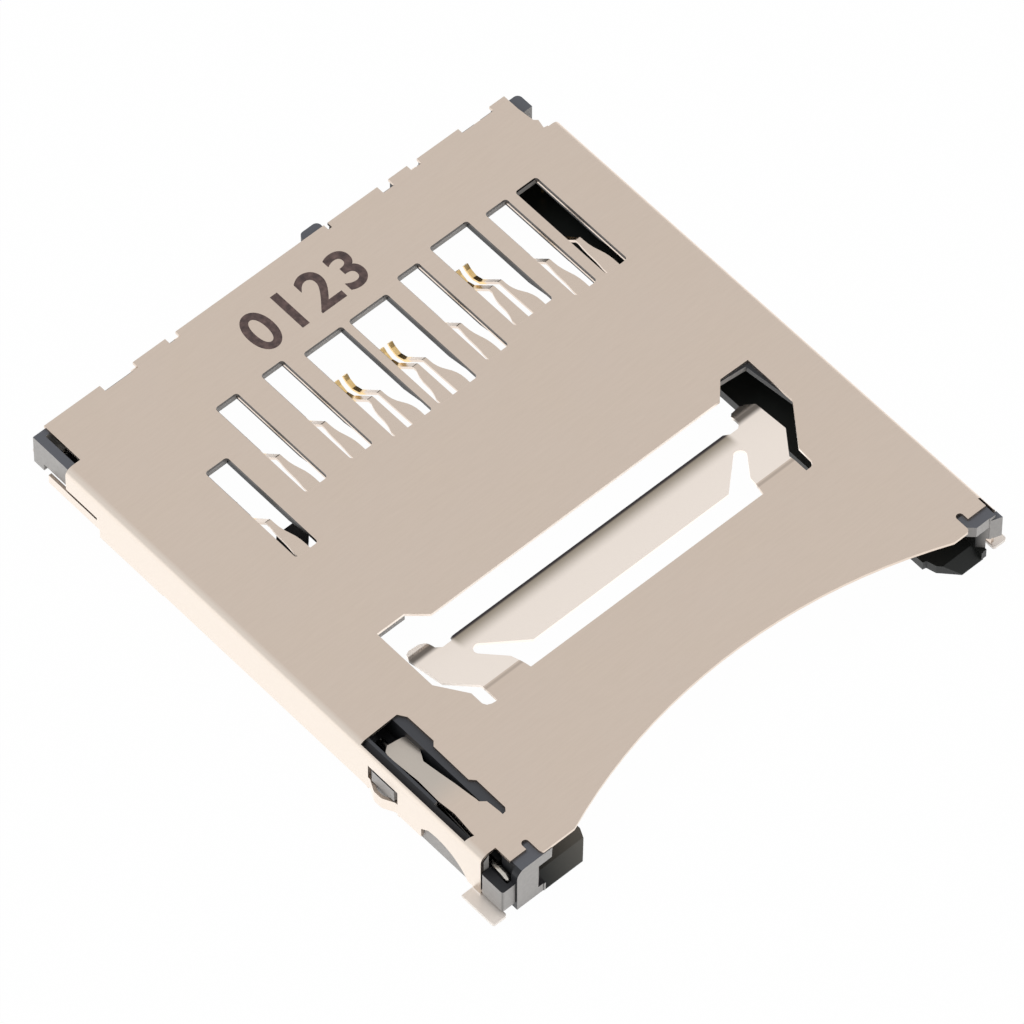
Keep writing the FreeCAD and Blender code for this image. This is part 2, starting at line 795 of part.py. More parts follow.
def make_flap():
    """The hold-down flap, bent down into the card slot."""
    flap = new_body("flap_sheet")
    middle = s.flap_middle
    root = edge + s.flap_root
    level = under + s.cover_sheet / 2
    fall = s.flap_fall.value
    reach = (s.flap_reach - s.flap_bend - 0.5) / math.cos(math.radians(fall))
    profile = strip_outline(
        (root - 0.3, level),
        [(s.flap_bend + 0.3, 0), (reach, -fall), (0.65, -fall - 25)],
        s.cover_sheet,
        0.5,
    )
    wide = s.flap_leg_outer + 1.3
    pad(flap, "flap_strip", SIDE, [profile], middle - wide, middle + wide)
    ring = rect(middle - wide - beyond, root - beyond, middle + wide + beyond, root + 6.5)
    outline = flap_side(1) + flap_side(-1)
    pocket(flap, "flap_shape", TOP, [ring, outline], 0.0, s.cover_height + beyond)
    slot = [
        (middle - s.flap_leg_inner, root - 0.6),
        (middle + s.flap_leg_inner, root - 0.6),
        (middle + s.flap_leg_inner, root + 0.32),
        (middle + s.flap_leg_inner + 0.2, root + 1.32),
        (middle + 7.42, root + 2.38),
        Bend(0.3, 1),
        (middle + 7.08, root + 2.84),
        (middle + 5.39, root + 1.31),
        (middle - 5.39, root + 1.31),
        (middle - 7.08, root + 2.84),
        Bend(0.3, 1),
        (middle - 7.42, root + 2.38),
        (middle - s.flap_leg_inner - 0.2, root + 1.32),
        (middle - s.flap_leg_inner, root + 0.32),
    ]
    pocket(flap, "flap_slot", TOP, [slot], 0.0, s.cover_height + beyond)
    lip_start = 3.3
    drop = (lip_start - s.flap_bend) * math.tan(math.radians(fall))
    lip = strip_outline(
        (root + lip_start, level - drop), [(0.6, -fall), (0.36, -fall - 62)], s.cover_sheet, 0.12
    )
    pad(flap, "flap_lip", SIDE, [lip], middle - 7.47, middle + 7.47)
    return flap


def leaf_opening():
    """The hole in the sheet around the leaf over the cam pin."""
    root = edge + s.leaf_root
    left = -inner - 0.025
    right = slot_left + 0.195
    return [
        (left, root + 0.1),
        (-inner + 0.405, root),
        (right - 0.3, root),
        (right - 0.12, root + 0.03),
        (right, root + 0.19),
        (right + 0.01, root + 1.93),
        (right - 0.21, root + 2.17),
        (right - 0.19, root + 4.31),
        (right, root + 4.52),
        (right - 0.02, root + 6.08),
        (right - 0.27, root + 6.46),
        (left, root + 6.4),
    ]


def make_leaf():
    """The leaf that keeps the cam pin down in its groove."""
    leaf = new_body("leaf_sheet")
    root = edge + s.leaf_root
    level = under + s.cover_sheet / 2
    fall = s.leaf_fall.value
    reach = (s.leaf_length - s.leaf_bend + 0.3) / math.cos(math.radians(fall))
    profile = strip_outline(
        (root - 0.3, level), [(s.leaf_bend + 0.3, 0), (reach, -fall)], s.cover_sheet, 0.5
    )
    pad(leaf, "leaf_strip", SIDE, [profile], -inner + 0.05, slot_left)
    tip = root + s.leaf_length
    outline = [
        (slot_left - 0.105, root - 0.6),
        (slot_left - 0.105, root + 0.2),
        (slot_left - 0.165, root + 0.89),
        (slot_left - 0.405, root + 1.1),
        (slot_left - 0.445, root + 1.62),
        (slot_left - 0.485, root + 2.41),
        (slot_left - 0.565, tip - 2.5),
        (slot_left - 0.625, tip - 1.65),
        (slot_left - 0.305, tip - 1.09),
        (slot_left - 0.275, tip - 0.2),
        (slot_left - 0.385, tip - 0.12),
        (-inner + 0.925, tip),
        (-inner + 0.655, tip - 0.22),
        (-inner + 0.585, tip - 0.47),
        (-inner + 0.595, tip - 1.42),
        (-inner + 0.605, tip - 2.25),
        (-inner + 0.485, root + 2.24),
        (-inner + 0.515, root + 1.31),
        (-inner + 0.485, root + 0.95),
        (-inner + 0.405, root + 0.17),
        (-inner + 0.405, root - 0.6),
    ]
    ring = rect(-side - beyond, root - beyond, slot_left + beyond, tip + beyond)
    pocket(leaf, "leaf_shape", TOP, [ring, outline], 0.0, s.cover_height + beyond)
    return leaf


def make_housing():
    """The moulding: two side walls, a back wall, a roof over the contacts and ledges for the card."""
    body = new_body("housing")
    outer = inner - s.cover_fit
    mouth = front + 0.03
    outline = [
        (-outer, edge + 1.43),
        (-inner + 0.525, edge + 1.43),
        (-inner + 0.525, mouth),
        (slot_left, mouth),
        (slot_left, wall_near),
        (slot_right, wall_near),
        (slot_right, mouth),
        (outer - 0.3, mouth),
        (outer - 0.3, edge + 1.03),
        (outer, edge + 1.03),
        (outer, rear - 0.25),
        Bend(0.25, 1),
        (outer - 0.25, rear),
        (-outer, rear),
    ]
    pad(body, "walls", TOP, [outline], 0.0, under)
    roof = rect(slot_left - hair, rear - s.roof_depth, slot_right + hair, wall_near + hair)
    pad(body, "roof", TOP, [roof], under - s.roof_thick, under)
    wing = [
        (slot_right + hair, rear - s.roof_depth + hair),
        (slot_right - 3.325, rear - s.roof_depth + hair),
        (slot_right - 3.325, rear - 16.84),
        (slot_right - 1.885, rear - 16.98),
        (slot_right - 1.615, rear - 19.49),
        (slot_right - s.rail_reach, rear - 20.9),
        (slot_right + hair, rear - 20.9),
    ]
    flap_end = edge + s.flap_root + 5.7
    left_wing = rect(slot_left - hair, flap_end, s.flap_middle - 8.5, rear - s.roof_depth + hair)
    pad(body, "roof_wings", TOP, [wing, left_wing], under - s.roof_thick, under)
    rails = [
        [
            (slot_left - hair, mouth),
            (slot_left + s.rail_reach - s.mouth_chamfer, mouth),
            (slot_left + s.rail_reach, mouth + s.mouth_chamfer),
            (slot_left + s.rail_reach, wall_near + hair),
            (slot_left - hair, wall_near + hair),
        ],
        [
            (slot_right + hair, mouth),
            (slot_right + hair, wall_near + hair),
            (slot_right - s.rail_reach, wall_near + hair),
            (slot_right - s.rail_reach, mouth + s.mouth_chamfer),
            (slot_right - s.rail_reach + s.mouth_chamfer, mouth),
        ],
    ]
    pad(body, "top_rails", TOP, rails, rail_low, under)
    ledges = [
        [
            (slot_left - hair, front),
            (slot_left + 2.015, front),
            (slot_left + 2.575, front + 0.58),
            (slot_left + 2.785, front + 1.02),
            (slot_left + 2.785, front + 2.2),
            (slot_left + 2.4, front + 2.6),
            (slot_left + s.ledge_left, front + 2.6),
            (slot_left + s.ledge_left, wall_near + hair),
            (slot_left - hair, wall_near + hair),
        ],
        [
            (slot_right + hair, front),
            (slot_right + hair, wall_near + hair),
            (slot_right - s.ledge_right, wall_near + hair),
            (slot_right - s.ledge_right, front + 3.2),
            (slot_right - 2.115, front + 2.9),
            (slot_right - 2.115, front + 1.29),
            (slot_right - 1.945, front + 1.25),
            (slot_right - 1.815, front + 0.79),
            (slot_right - 1.085, front),
        ],
    ]
    pad(body, "ledges", TOP, ledges, 0.0, s.slot_floor)
    lead_in = [
        (front - hair, 0.05),
        (front, 0.05),
        (front + 0.6, s.slot_floor),
        (front + 0.6, s.slot_floor + hair),
        (front - hair, s.slot_floor + hair),
    ]
    pocket(body, "ledge_lead_in", SIDE, [lead_in], slot_left, slot_right)
    guard = soft_rect(-side - 0.01, edge + 0.1, -inner + 0.6, edge + 1.4, 0.12)
    pad(body, "left_guard", TOP, [guard], 0.4, 1.75)
    right_foot_room = rect(slot_right + 0.3, -hair, side + beyond, 1.17)
    pocket(body, "right_lift", FRONT, [right_foot_room], front - beyond, edge + 0.97)
    block = [
        (slot_right + s.mouth_chamfer, front),
        (side + 0.015, front - 0.19),
        (side + 0.015, edge + 0.16),
        (outer, edge + 0.16),
        (outer, front + 0.94),
        (slot_right + s.mouth_chamfer, front + 0.94),
    ]
    pad(body, "right_guard", TOP, [block], 1.17, under - 0.18)
    cap = rect(slot_right + s.mouth_chamfer, front, outer - 0.05, front + 0.94)
    pad(body, "right_guard_top", TOP, [cap], 1.17, under)
    for name, way in (("left", -1), ("right", 1)):
        low, high = ((outer - hair) * way, (side + 0.02) * way)
        latch = [(edge + 6.66, 1.1), (edge + 8.01, 1.1), (edge + 8.01, 1.82), (edge + 6.66, 1.82)]
        pad(body, name + "_latch", SIDE, [latch], min_of(low, high), max_of(low, high))
    windows = [roof_window(pin) for pin in pins]
    pocket(body, "roof_windows", TOP, windows, rail_low, under + beyond)
    seats = [
        rect(pin.lead_left - s.lead_gap, pin.near - s.yoke_width, pin.lead_right + s.lead_gap, rear + hair)
        for pin in pins
    ]
    pocket(body, "lead_seats", TOP, seats, strip_low, under + beyond)
    yokes = [
        rect(
            pin.yoke_left - s.lead_gap,
            pin.near - s.yoke_width - s.lead_gap,
            pin.lead_left,
            pin.near + s.lead_gap,
        )
        for pin in pins
    ]
    pocket(body, "yoke_seats", TOP, yokes, strip_low, under + beyond)
    slots = [
        rect(pin.lead_left - s.lead_gap, rear - s.lead_slot, pin.lead_right + s.lead_gap, rear + beyond)
        for pin in pins
    ]
    pocket(body, "rear_slots", TOP, slots, -hair, under + beyond)
    channel = rect(channel_left, channel_near, channel_right, channel_far)
    pocket(body, "slider_channel", TOP, [channel], s.channel_floor, under + beyond)
    notches = [
        rect(s.slot_centre + left - 0.05, back - deep + 0.1, s.slot_centre + left + wide + 0.05, rear + hair)
        for left, wide, deep in BACK_NOTCHES
    ]
    pocket(body, "behind_back_notches", TOP, notches, under - 1.0, under + beyond)
    boss = [
        (s.slot_centre + 1.0, rear - hair),
        (s.slot_centre + 2.05, rear - hair),
        (s.slot_centre + 2.05, rear + 0.37),
        Bend(0.25, 1),
        (s.slot_centre + 1.8, rear + 0.62),
        (s.slot_centre + 1.25, rear + 0.62),
        Bend(0.25, 1),
        (s.slot_centre + 1.0, rear + 0.37),
    ]
    pad(body, "rear_boss", TOP, [boss], 0.6, 2.4)
    lead = pins[3]
    lead_room = rect(
        lead.lead_left - s.lead_gap, rear - s.lead_slot, lead.lead_right + s.lead_gap, rear + s.lead_gap
    )
    pocket(body, "boss_lead_room", TOP, [lead_room], -hair, under + beyond)
    gap = rect(channel_right - hair, edge + 9.94, slot_left + hair, back - 5.69)
    pocket(body, "arm_gap", TOP, [gap], s.slot_floor, rail_low - hair)
    foot_room = rect(-side + 0.85, back - 0.2, -side + 1.36, rear + hair)
    pocket(body, "rear_foot_room", TOP, [foot_room], -hair, under + beyond)
    below = [
        (back - 4.4, -hair),
        (rear + hair, -hair),
        (rear + hair, 0.95),
        (back - 0.69, 0.95),
        (back - 0.69, 1.38),
        (back - 2.09, 1.38),
        (back - 2.09, 0.85),
        (back - 4.4, 0.85),
    ]
    pocket(body, "rear_left_wall", SIDE, [below], -outer - hair, -inner + 0.725)
    right_drop = rect(side - 0.8, back - 2.44, outer + hair, back - 0.93)
    pocket(body, "rear_right_wall", TOP, [right_drop], 1.35, under + beyond)
    right_end = rect(side - 0.9, back - 0.93 - hair, outer + hair, rear + hair)
    pocket(body, "rear_right_end", TOP, [right_end], 2.35, under + beyond)
    pin_slot = rect(pivot_x - 0.2, pivot_y - 0.2, pivot_x + 0.24, pivot_y + s.pin_length / 2)
    pocket(body, "pin_slot", TOP, [pin_slot], pin_level - s.wire / 2 - s.groove_gap, under + beyond)
    hole = Circle((pivot_x, pivot_y), s.wire / 2 + s.groove_gap)
    pocket(body, "pin_hole", TOP, [hole], 1.2, 1.8)
    ramp = [
        (-side - beyond, -hair),
        (-inner + 0.475, -hair),
        (-inner + 0.215, 0.4),
        (-side - beyond, 0.4),
    ]
    pocket(body, "left_lift", FRONT, [ramp], front - beyond, edge + 1.43)
    for name, way in (("left", -1), ("right", 1)):
        bevel = [
            ((outer - 0.28) * way, under),
            (outer * way, under - 0.28),
            ((outer + beyond) * way, under - 0.28),
            ((outer + beyond) * way, under + hair),
            ((outer - 0.28) * way, under + hair),
        ]
        pocket(body, name + "_bevel", FRONT, [bevel], edge + 0.97, back - 2.3)
    top_left = [
        (-inner + 0.525 - beyond, under + beyond),
        (-inner + 0.525 - beyond, under - 0.45),
        (-inner + 0.525, under - 0.45),
        Bend(0.45, -1),
        (-inner + 0.975, under),
        (-inner + 0.975, under + beyond),
    ]
    pocket(body, "left_corner", FRONT, [top_left], front - beyond, edge + 1.13)
    chamfers = [
        [
            (slot_left - s.mouth_chamfer, front - beyond),
            (slot_left + hair, front - beyond),
            (slot_left + hair, mouth + s.mouth_chamfer + hair),
            (slot_left - s.mouth_chamfer, mouth),
        ],
        [
            (slot_right + s.mouth_chamfer, front - beyond),
            (slot_right + s.mouth_chamfer, mouth),
            (slot_right - hair, mouth + s.mouth_chamfer + hair),
            (slot_right - hair, front - beyond),
        ],
    ]
    pocket(body, "mouth_lead_in", TOP, chamfers, s.slot_floor, rail_low)
    add_switch_seats(body, outer)
    return body


def roof_window(pin):
    """The hole in the roof under one window of the cover, a little wider towards the front."""
    far = pin.near + pin.length
    return [
        (pin.left - 0.1, pin.near),
        (pin.right + 0.11, pin.near),
        (pin.right + 0.11, far - 4.85),
        (pin.right, far - 3.9),
        (pin.right, far),
        (pin.left + 0.08, far),
        (pin.left + 0.08, far - 2.75),
        (pin.left - 0.1, far - 4.15),
    ]


def add_switch_seats(body, outer):
    """Slots for the two switches in the back wall and in the right wall."""
    half = s.switch_strip / 2 + s.lead_gap
    through = [
        rect(spring_x - half, wall_near - hair, spring_x + half, rear + hair),
        rect(terminal_x - half, wall_near - hair, terminal_x + half, rear + hair),
    ]
    pocket(body, "detect_slots", TOP, through, -hair, switch_top + s.lead_gap)
    rear_cut = [
        rect(spring_x - half, rear - s.lead_slot, spring_x + 0.45, rear + beyond),
        rect(terminal_x - 0.45, rear - s.lead_slot, terminal_x + half, rear + beyond),
    ]
    pocket(body, "detect_feet_slots", TOP, rear_cut, -hair, 0.8)
    recess = rect(slot_right - hair, switch_near - 2.1, outer - 0.12, switch_far + 0.5)
    pocket(body, "protect_recess", TOP, [recess], s.slot_floor, switch_top + 0.1)
    legs = [
        rect(outer - 0.42, switch_far - 0.28, outer + hair, switch_far + 0.28),
        rect(outer - 0.42, switch_near - 0.28, outer + hair, switch_near + 0.28),
    ]
    pocket(body, "protect_feet_slots", TOP, legs, -hair, switch_top + 0.1)


def make_slider():
    """The eject slider: a bar with an arm under the card and a heart-shaped track on top."""
    body = new_body("eject_slider")
    left = channel_left + s.slider_gap
    right = channel_right - s.slider_gap
    near = channel_near + s.slider_set
    far = near + s.slider_length
    low = s.channel_floor + s.slider_gap
    bar = rect(left, near, right, far)
    pad(body, "slider_bar", TOP, [bar], low, low + s.slider_height)
    tip = right + s.arm_reach
    reach = far + 3.41
    arm = [
        (right - 0.3, far - 1.5),
        (right - 0.3, reach - s.arm_reach - s.arm_width - 0.3),
        (tip, reach - s.arm_width),
        (tip, reach),
        (tip - 1.0, reach),
        (right - 0.3, reach - s.arm_reach + 1.0 - 0.3),
    ]
    arm_low = s.slot_floor + s.slider_gap
    pad(body, "slider_arm", TOP, [arm], arm_low, arm_low + s.arm_height)
    pad(
        body,
        "spring_spigot",
        FRONT,
        [Circle((track_x, coil_level), s.coil_outside / 2 - s.coil_wire - s.slider_gap)],
        far - hair,
        far + 0.8,
    )
    half = s.wire / 2 + s.groove_gap
    begin = track_y - 4.0
    end = track_y - s.slider_travel
    track = [
        (track_x - half, track_y + half),
        (track_x - half, begin + 0.8),
        (track_x - s.cam_swing - half, begin - 0.1),
        (track_x - s.cam_swing - half, end - half),
        (track_x + s.cam_swing + half, end - half),
        (track_x + s.cam_swing + half, begin - 0.1),
        (track_x + half, begin + 0.8),
        (track_x + half, track_y + half),
    ]
    heart = [
        (track_x, begin),
        (track_x + s.cam_swing - half, begin - 0.7),
        (track_x + s.cam_swing - half, end + 0.55),
        (track_x, end + 0.85),
        (track_x - s.cam_swing + half, end + 0.55),
        (track_x - s.cam_swing + half, begin - 0.7),
    ]
    top = low + s.slider_height
    pocket(body, "cam_track", TOP, [track, heart], top - s.groove_depth, top + hair)
    anchor = rect(right - 0.18, near + 9.0, right + hair, near + 12.85)
    pocket(body, "leaf_seat", TOP, [anchor], low + 0.3, top + hair)
    return body


def make_lock_leaf():
    """The small side spring on the slider that holds the card by its notch."""
    body = new_body("lock_leaf")
    right = channel_right - s.slider_gap
    near = channel_near + s.slider_set
    plan = strip_outline(
        (right - 0.11, near + 12.8),
        [(1.9, -90), (0.9, -66), (0.9, -116), (0.5, -66)],
        0.1,
        0.1,
    )
    pad(body, "leaf_strip_plan", TOP, [plan], s.channel_floor + s.slider_gap + 0.3, 1.4)
    return body


def swept_wire(name, path_role, path, start_role, start, level, radius):
    """A round wire along an open outline."""
    body = new_body(name)
    plane = next(item for item in body.Origin.OriginFeatures if item.Role == path_role)
    spine = body.newObject("Sketcher::SketchObject", name + "_path")
    spine.AttachmentSupport = [(plane, "")]
    spine.MapMode = "FlatFace"
    draw(spine, path, closed=False)
    section = new_sketch(body, name + "_section", start_role, level, [Circle(start, radius)])
    pipe = body.newObject("PartDesign::AdditivePipe", name + "_wire")
    pipe.Profile = section
    pipe.Spine = (spine, [f"Edge{number + 1}" for number in range(spine.GeometryCount)])
    return body


def make_pin():
    """The cam pin: a wire with a short hook down at each end."""
    bend = 0.25
    path = [
        (0.0, -0.5),
        (0.0, -bend),
        Bend(bend, -1),
        (bend, 0.0),
        (s.pin_length - bend, 0.0),
        Bend(bend, -1),
        (s.pin_length, -bend),
        (s.pin_length, -0.42),
    ]
    body = swept_wire("cam_pin", SIDE, path, TOP, (0.0, 0.0), -0.5, s.wire / 2)
    place = [(pivot_x, "x"), (pivot_y, "y"), (pin_level, "z")]
    turn = FreeCAD.Rotation(FreeCAD.Vector(0, 0, 1), -s.pin_slant.value)
    body.Placement = FreeCAD.Placement(FreeCAD.Vector(*[value(at) for at, _ in place]), turn)
    for at, axis in place:
        body.setExpression("Placement.Base." + axis, formula(at))
    return body


def make_return_spring():
    """The coil spring behind the slider."""
    near = channel_near + s.slider_set + s.slider_length + s.coil_wire / 2
    length = channel_far - s.coil_wire / 2 - near
    radius = (s.coil_outside - s.coil_wire) / 2
    helix = doc.addObject("Part::Helix", "return_spring_line")
    for prop, length_of in (("Pitch", s.coil_pitch), ("Height", length), ("Radius", radius)):
        setattr(helix, prop, length_of.value)
        helix.setExpression(prop, length_of.formula)
    section = doc.addObject("Part::Circle", "return_spring_section")
    section.Radius = s.coil_wire.value / 2
    section.setExpression("Radius", (s.coil_wire / 2).formula)
    section.Placement = FreeCAD.Placement(
        FreeCAD.Vector(radius.value, 0, 0), FreeCAD.Rotation(FreeCAD.Vector(1, 0, 0), 90)
    )
    section.setExpression("Placement.Base.x", radius.formula)
    coil = doc.addObject("Part::Sweep", "return_spring")
    coil.Label = "return_spring"
    coil.Sections = [section]
    coil.Spine = (helix, ["Edge1"])
    coil.Solid = True
    coil.Frenet = True
    coil.Placement = FreeCAD.Placement(
        FreeCAD.Vector(track_x.value, near.value, coil_level.value),
        FreeCAD.Rotation(FreeCAD.Vector(1, 0, 0), -90),
    )
    for axis, at in (("x", track_x), ("y", near), ("z", coil_level)):
        coil.setExpression("Placement.Base." + axis, at.formula)
    return coil


def make_detect_switch():
    """Card-present switch: a long spring through the back wall and a short terminal beside it."""
    spring = new_body("detect_spring")
    plan = strip_outline(
        (spring_x, rear),
        [(s.back_wall + 0.35, -90), (1.35, -132)],
        s.switch_strip,
        0.15,
    )
    pad(spring, "detect_strip", TOP, [plan], switch_low, switch_top)
    add_rear_foot(spring, "detect_spring", spring_x - s.switch_strip / 2, spring_x + 0.38)
    terminal = new_body("detect_terminal")
    plate = strip_outline(
        (terminal_x, rear),
        [(s.back_wall - 0.05 + s.switch_strip / 2, -90), (0.5, 0)],
        s.switch_strip,
        0.02,
    )
    pad(terminal, "terminal_strip", TOP, [plate], switch_low, switch_top)
    add_rear_foot(terminal, "detect_terminal", terminal_x - 0.38, terminal_x + s.switch_strip / 2)
    return [spring, terminal]


def add_rear_foot(body, name, left, right):
    """A solder foot behind the housing, bent out of the strip's lower edge."""
    step = strip_outline(
        (rear - s.switch_strip / 2, switch_low + 0.1),
        [(switch_low + 0.1 - s.switch_strip / 2, -90), (tail_end - rear + s.switch_strip / 2, 0)],
        s.switch_strip,
        0.1,
    )
    pad(body, name + "_foot", SIDE, [step], left, right)


def make_protect_switch():
    """Write-protect switch in the right wall: a bowed spring and a flat terminal behind it."""
    wall = inner - s.cover_fit - 0.12
    spring = new_body("protect_spring")
    plan = strip_outline(
        (wall - 0.1, switch_far + 0.25),
        [(1.1, -90), (2.3, -104), (1.8, -76)],
        s.switch_strip,
        0.3,
    )
    pad(spring, "protect_strip", TOP, [plan], switch_low, switch_top)
    add_side_foot(spring, "protect_spring", switch_far)
    terminal = new_body("protect_terminal")
    plate = rect(wall - 0.12, switch_near - 1.9, wall, switch_near + 1.3)
    pad(terminal, "protect_plate", TOP, [plate], switch_low, switch_top)
    add_side_foot(terminal, "protect_terminal", switch_near)
    return [spring, terminal]


def add_side_foot(body, name, middle):
    """A solder foot under the folded side, bent out of the strip's lower edge."""
    wall = inner - s.cover_fit - 0.12
    step = strip_outline(
        (wall - 0.1, switch_low + 0.1),
        [
            (switch_low + 0.1 - s.switch_strip / 2, -90),
            (side + s.foot_reach - wall + 0.1, 0),
        ],
        s.switch_strip,
        0.1,
    )
    pad(body, name + "_foot", FRONT, [step], middle - 0.22, middle + 0.22)


pieces = [make_cover(), make_housing()]
pieces += [make_contact(pin) for pin in pins]
pieces += make_detect_switch()
pieces += make_protect_switch()
pieces += [make_slider(), make_return_spring(), make_pin(), make_lock_leaf()]
doc.recompute()

broken = [item.Label for item in doc.Objects if "Invalid" in item.State or "Error" in item.State]
if broken:
    raise ValueError("could not be built: " + ", ".join(broken))
for piece in pieces:
    if piece.Shape.isNull() or not piece.Shape.isValid():
        raise ValueError(piece.Label + " is not sound")
loose = [f"{piece.Label} {len(piece.Shape.Solids)}" for piece in pieces if len(piece.Shape.Solids) != 1]
if loose:
    raise ValueError("more than one solid: " + ", ".join(loose))

os.makedirs("parts", exist_ok=True)
for piece in pieces:
    piece.Shape.exportStep(f"parts/{piece.Label}.step")
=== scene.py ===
"""Looks of the memory card socket: finishes, stamped number, floor, light and camera."""

import bpy
from mathutils import Matrix, Vector


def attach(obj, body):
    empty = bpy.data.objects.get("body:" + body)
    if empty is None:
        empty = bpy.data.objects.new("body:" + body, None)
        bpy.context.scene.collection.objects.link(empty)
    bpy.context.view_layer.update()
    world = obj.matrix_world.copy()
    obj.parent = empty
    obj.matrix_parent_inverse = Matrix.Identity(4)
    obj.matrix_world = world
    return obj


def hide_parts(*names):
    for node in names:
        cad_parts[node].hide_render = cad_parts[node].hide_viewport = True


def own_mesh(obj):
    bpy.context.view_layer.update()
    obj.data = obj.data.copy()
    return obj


MM = 0.001
MM_PER_METRE = 1000.0

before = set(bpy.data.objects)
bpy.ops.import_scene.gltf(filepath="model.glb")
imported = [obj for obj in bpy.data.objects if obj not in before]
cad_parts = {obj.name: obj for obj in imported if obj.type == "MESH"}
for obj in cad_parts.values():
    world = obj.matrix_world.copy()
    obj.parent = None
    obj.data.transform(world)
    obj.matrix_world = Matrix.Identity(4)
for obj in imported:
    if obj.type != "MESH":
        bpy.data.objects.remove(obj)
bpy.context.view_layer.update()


def linear(channel):
    """One channel of a screen colour, 0 to 255, as light, by the numbers of the sRGB standard."""
    level = channel / 255
    if level <= 0.04045:
        return level / 12.92
    return ((level + 0.055) / 1.055) ** 2.4


def srgb(red, green, blue):
    """A colour as seen on the screen, for a shader."""
    return (linear(red), linear(green), linear(blue), 1.0)


# The colour sockets of the Mix node, which has others of the same names for plain numbers.
MIX_FACTOR = 0
MIX_FIRST = 6
MIX_SECOND = 7
MIX_RESULT = 2


class Nodes:
    """The node tree of a material or the world, with short calls.

    A mask is 1 where it holds and 0 elsewhere. Places and limits are in millimetres.
    """

    def __init__(self, owner, output="ShaderNodeOutputMaterial"):
        owner.use_nodes = True
        self.owner = owner
        self.tree = owner.node_tree
        self.tree.nodes.clear()
        self.output = self.tree.nodes.new(output)

    def feed(self, socket, value):
        """Give a socket a plain value or another node's output."""
        if isinstance(value, bpy.types.NodeSocket):
            self.tree.links.new(value, socket)
        else:
            socket.default_value = value

    def add(self, kind, **values):
        """A new node, with its settings and its inputs by name."""
        node = self.tree.nodes.new(kind)
        for name, value in values.items():
            if hasattr(node, name):
                setattr(node, name, value)
            else:
                self.feed(node.inputs[name.replace("_", " ")], value)
        return node

    def close(self, shader):
        """Join the shader to the output and give back the material or world."""
        self.feed(self.output.inputs["Surface"], shader.outputs[0])
        return self.owner

    def math(self, operation, *values):
        """The result of one sum on numbers and outputs."""
        node = self.add("ShaderNodeMath", operation=operation)
        for socket, value in zip(node.inputs, values):
            self.feed(socket, value)
        return node.outputs[0]

    def times(self, first, *others):
        """The product of all the values."""
        for other in others:
            first = self.math("MULTIPLY", first, other)
        return first

    def most(self, first, *others):
        """The largest of all the values."""
        for other in others:
            first = self.math("MAXIMUM", first, other)
        return first

    def rest_of(self, mask):
        """1 less the mask."""
        return self.math("SUBTRACT", 1.0, mask)

    def under(self, value, limit):
        """The mask of values below the limit."""
        return self.math("LESS_THAN", value, limit)

    def over(self, value, limit):
        """The mask of values above the limit."""
        return self.math("GREATER_THAN", value, limit)

    def ramp(self, value, start, end, top=1.0, bottom=0.0, kind="LINEAR"):
        """bottom at start, changing to top at end."""
        node = self.add(
            "ShaderNodeMapRange",
            interpolation_type=kind,
            Value=value,
            From_Min=start,
            From_Max=end,
            To_Min=bottom,
            To_Max=top,
        )
        return node.outputs[0]

    def fade(self, value, start, end):
        """0 at start, rising softly to 1 at end."""
        return self.ramp(value, start, end, kind="SMOOTHSTEP")

    def band(self, value, low, high, soft):
        """1 between low and high, fading over soft at both ends."""
        return self.times(self.fade(value, low - soft, low), self.fade(value, high + soft, high))

    def mix(self, factor, first, second):
        """One colour changing to another."""
        node = self.add("ShaderNodeMix", data_type="RGBA")
        for socket, value in ((MIX_FACTOR, factor), (MIX_FIRST, first), (MIX_SECOND, second)):
            self.feed(node.inputs[socket], value)
        return node.outputs[MIX_RESULT]

    def paint(self, colour, *layers):
        """The colour with each layer's own colour laid over it by the layer's mask."""
        for mask, tone in layers:
            colour = self.mix(mask, colour, tone)
        return colour

    def split(self, vector):
        """The x, y and z of a vector."""
        return self.add("ShaderNodeSeparateXYZ", Vector=vector).outputs

    def place(self):
        """The shaded point in millimetres, and its x, y and z."""
        point = self.add("ShaderNodeTexCoord").outputs["Object"]
        scaled = self.add("ShaderNodeVectorMath", operation="SCALE", Vector=point, Scale=MM_PER_METRE)
        return scaled.outputs[0], self.split(scaled.outputs[0])

    def facing(self):
        """The x, y and z of the surface's own normal."""
        return self.split(self.add("ShaderNodeNewGeometry").outputs["Normal"])

    def noise(self, vector, scale, detail):
        """A cloudy pattern from 0 to 1."""
        return self.add("ShaderNodeTexNoise", Vector=vector, Scale=scale, Detail=detail).outputs[0]

    def seen(self):
        """The mask of camera, glossy and transmission rays."""
        rays = self.add("ShaderNodeLightPath").outputs
        return self.most(*(rays[f"Is {kind} Ray"] for kind in ("Camera", "Glossy", "Transmission")))


def material(name):
    """The empty node tree of a new material."""
    return Nodes(bpy.data.materials.new(name))


def surface(nodes, colour, metallic, roughness, bump=None, specular=0.5):
    """The finished material. A bump is a pattern, its strength and its height in metres."""
    shader = nodes.add(
        "ShaderNodeBsdfPrincipled",
        Base_Color=colour,
        Metallic=metallic,
        Roughness=roughness,
        Specular_IOR_Level=specular,
    )
    if bump is not None:
        pattern, strength, height = bump
        raised = nodes.add("ShaderNodeBump", Strength=strength, Distance=height, Height=pattern)
        nodes.feed(shader.inputs["Normal"], raised.outputs[0])
    return nodes.close(shader)


